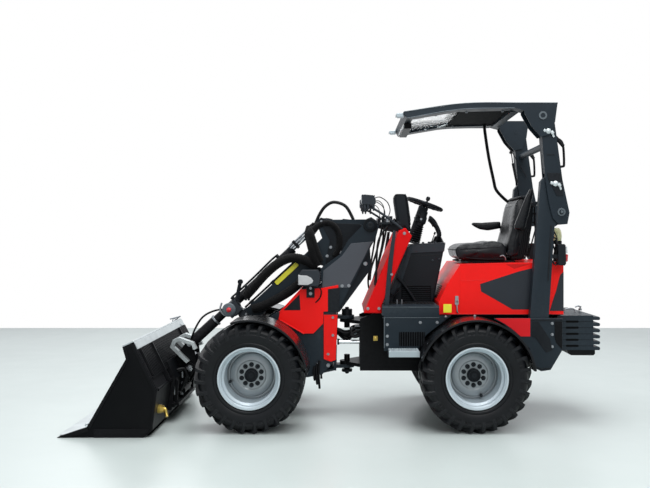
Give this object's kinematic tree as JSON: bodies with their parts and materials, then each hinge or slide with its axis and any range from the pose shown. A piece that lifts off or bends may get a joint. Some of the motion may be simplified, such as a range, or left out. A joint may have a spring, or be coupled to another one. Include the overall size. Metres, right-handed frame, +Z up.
{
  "type": "mini wheel loader",
  "caption": "Compact articulated wheel loader with a telescopic boom, bucket, open driver's seat and a folding roll-over frame, in red and anthracite.",
  "frame": {"origin": "on the ground under the middle of the whole machine at rest, bucket included", "axes": "+X forward towards the bucket, +Y to the machine's left, +Z up"},
  "size_m": [3.786, 1.5, 2.297],
  "materials": {
    "tyre": "matte",
    "rim_silver": "satin",
    "anthracite_steel": "satin",
    "black_steel": "satin",
    "red_paint": "gloss",
    "black_plastic": "matte",
    "black_vinyl": "satin",
    "lamp_body": "matte",
    "clear_plastic": "gloss",
    "chrome_rod": "polished"
  },
  "bodies": {
    "rear_frame": {"rear_chassis": "anthracite_steel", "side_tanks": "anthracite_steel", "operator_deck": "anthracite_steel", "rear_skirts": "anthracite_steel", "rear_axle": "anthracite_steel", "rear_fenders": "black_steel", "front_shield": "red_paint", "console": "black_plastic", "steering_column": "black_plastic", "display_pod": "black_plastic", "control_levers": "black_plastic", "work_lights": "lamp_body", "engine_block": "anthracite_steel", "counterweight": "black_steel", "rops_post_left": "black_steel", "rops_post_right": "black_steel", "tail_lights": "lamp_body"},
    "hood": {"engine_hood": "red_paint", "seat_base": "black_plastic", "seat_cushion": "black_vinyl", "seat_backrest": "black_vinyl", "armrests": "black_plastic"},
    "rops_upper": {"rops_arm_left": "black_steel", "rops_arm_right": "black_steel", "rops_cross_tube": "anthracite_steel"},
    "roof": {"roof_frame": "black_steel", "roof_panel": "black_plastic", "roof_light_bar": "clear_plastic", "grab_rail": "black_steel"},
    "front_frame": {"front_chassis": "anthracite_steel", "lower_panels": "red_paint", "boom_tower": "anthracite_steel", "front_axle": "anthracite_steel", "front_fenders": "black_steel", "front_lamps": "lamp_body"},
    "lift_barrel": {"lift_cylinder": "black_steel"},
    "lift_bar": {"lift_rod": "chrome_rod"},
    "boom": {"boom_outer": "anthracite_steel", "tilt_rod": "chrome_rod", "hose_coupler": "black_steel"},
    "boom_telescope": {"boom_inner": "black_steel"},
    "tilt_barrel": {"tilt_cylinder": "black_steel"},
    "tilt_front": {"tilt_clevis": "black_steel"},
    "nose_pin": {"coupler_pin": "chrome_rod"},
    "tool": {"quick_coupler": "anthracite_steel", "bucket": "black_steel"},
    "steer_barrel": {"steering_cylinder": "black_steel"},
    "steer_bar": {"steering_rod": "chrome_rod"},
    "hand_wheel": {"steering_wheel": "black_plastic"},
    "wheel_front_left": {"tyre_front_left": "tyre", "rim_front_left": "rim_silver"},
    "wheel_front_right": {"tyre_front_right": "tyre", "rim_front_right": "rim_silver"},
    "wheel_rear_left": {"tyre_rear_left": "tyre", "rim_rear_left": "rim_silver"},
    "wheel_rear_right": {"tyre_rear_right": "tyre", "rim_rear_right": "rim_silver"}
  },
  "joints": [
    {"name": "steer", "type": "hinge", "parent": "rear_frame", "child": "front_frame", "pos_m": [-0.055, 0, 0.56], "axis": [0, 0, 1], "range_deg": [-40, 40]},
    {"name": "boom_lift", "type": "hinge", "parent": "front_frame", "child": "boom", "pos_m": [-0.228, 0, 1.437], "axis": [0, -1, 0], "range_deg": [0, 80]},
    {"name": "boom_extend", "type": "slide", "parent": "boom", "child": "boom_telescope", "axis": [0.7337, 0, -0.6794], "range_m": [0, 0.575]},
    {"name": "pin_level", "type": "hinge", "parent": "boom_telescope", "child": "nose_pin", "pos_m": [1.13454, 0, 0.35926], "axis": [0, 1, 0], "range_deg": [0, 80]},
    {"name": "bucket_tilt", "type": "hinge", "parent": "nose_pin", "child": "tool", "pos_m": [1.13454, 0, 0.35926], "axis": [0, 1, 0], "range_deg": [-32, 42]},
    {"name": "tilt_barrel_slide", "type": "slide", "parent": "boom_telescope", "child": "tilt_barrel", "axis": [0.7337, 0, -0.6794], "range_m": [0, 0.232]},
    {"name": "tilt_rod_slide", "type": "slide", "parent": "tilt_barrel", "child": "tilt_front", "axis": [0.7337, 0, -0.6794], "range_m": [-0.078, 0.1]},
    {"name": "lift_swing", "type": "hinge", "parent": "front_frame", "child": "lift_barrel", "pos_m": [0.12, 0, 0.484], "axis": [0, 1, 0], "range_deg": [0, 6.2]},
    {"name": "lift_rod_slide", "type": "slide", "parent": "lift_barrel", "child": "lift_bar", "axis": [-0.0768, 0, 0.997], "range_m": [0, 0.52]},
    {"name": "steer_cylinder_swing", "type": "hinge", "parent": "rear_frame", "child": "steer_barrel", "pos_m": [-0.455, 0.108, 0.56], "axis": [0, 0, 1], "range_deg": [-7, 7]},
    {"name": "steer_rod_slide", "type": "slide", "parent": "steer_barrel", "child": "steer_bar", "axis": [1, 0, 0], "range_m": [-0.085, 0.085]},
    {"name": "rops_fold", "type": "hinge", "parent": "rear_frame", "child": "rops_upper", "pos_m": [-1.569, 0, 1.525], "axis": [0, -1, 0], "range_deg": [0, 95]},
    {"name": "roof_fold", "type": "hinge", "parent": "rops_upper", "child": "roof", "pos_m": [-1.435, 0, 2.205], "axis": [0, 1, 0], "range_deg": [0, 75]},
    {"name": "hood_open", "type": "hinge", "parent": "rear_frame", "child": "hood", "pos_m": [-1.619, 0, 0.795], "axis": [0, 1, 0], "range_deg": [-50, 0]},
    {"name": "steering_wheel_turn", "type": "hinge", "parent": "rear_frame", "child": "hand_wheel", "pos_m": [-0.651, 0, 1.6], "axis": [-0.3305, 0, 0.9438], "continuous": true},
    {"name": "spin_front_left", "type": "hinge", "parent": "front_frame", "child": "wheel_front_left", "pos_m": [0.616, 0.507, 0.38], "axis": [0, 1, 0], "continuous": true},
    {"name": "spin_front_right", "type": "hinge", "parent": "front_frame", "child": "wheel_front_right", "pos_m": [0.616, -0.507, 0.38], "axis": [0, 1, 0], "continuous": true},
    {"name": "spin_rear_left", "type": "hinge", "parent": "rear_frame", "child": "wheel_rear_left", "pos_m": [-0.944, 0.507, 0.38], "axis": [0, 1, 0], "continuous": true},
    {"name": "spin_rear_right", "type": "hinge", "parent": "rear_frame", "child": "wheel_rear_right", "pos_m": [-0.944, -0.507, 0.38], "axis": [0, 1, 0], "continuous": true}
  ],
  "couplings": [
    {"joint": "pin_level", "follows": "boom_lift", "ratio": 1},
    {"joint": "tilt_barrel_slide", "follows": "boom_lift", "m_per_rad": 0.1656},
    {"joint": "tilt_rod_slide", "follows": "bucket_tilt", "m_per_rad": 0.133},
    {"joint": "lift_swing", "follows": "boom_lift", "ratio": 0.075},
    {"joint": "lift_rod_slide", "follows": "boom_lift", "m_per_rad": 0.371},
    {"joint": "steer_cylinder_swing", "follows": "steer", "ratio": 0.16},
    {"joint": "steer_rod_slide", "follows": "steer", "m_per_rad": -0.115},
    {"joint": "roof_fold", "follows": "rops_fold", "ratio": 0.7895}
  ]
}
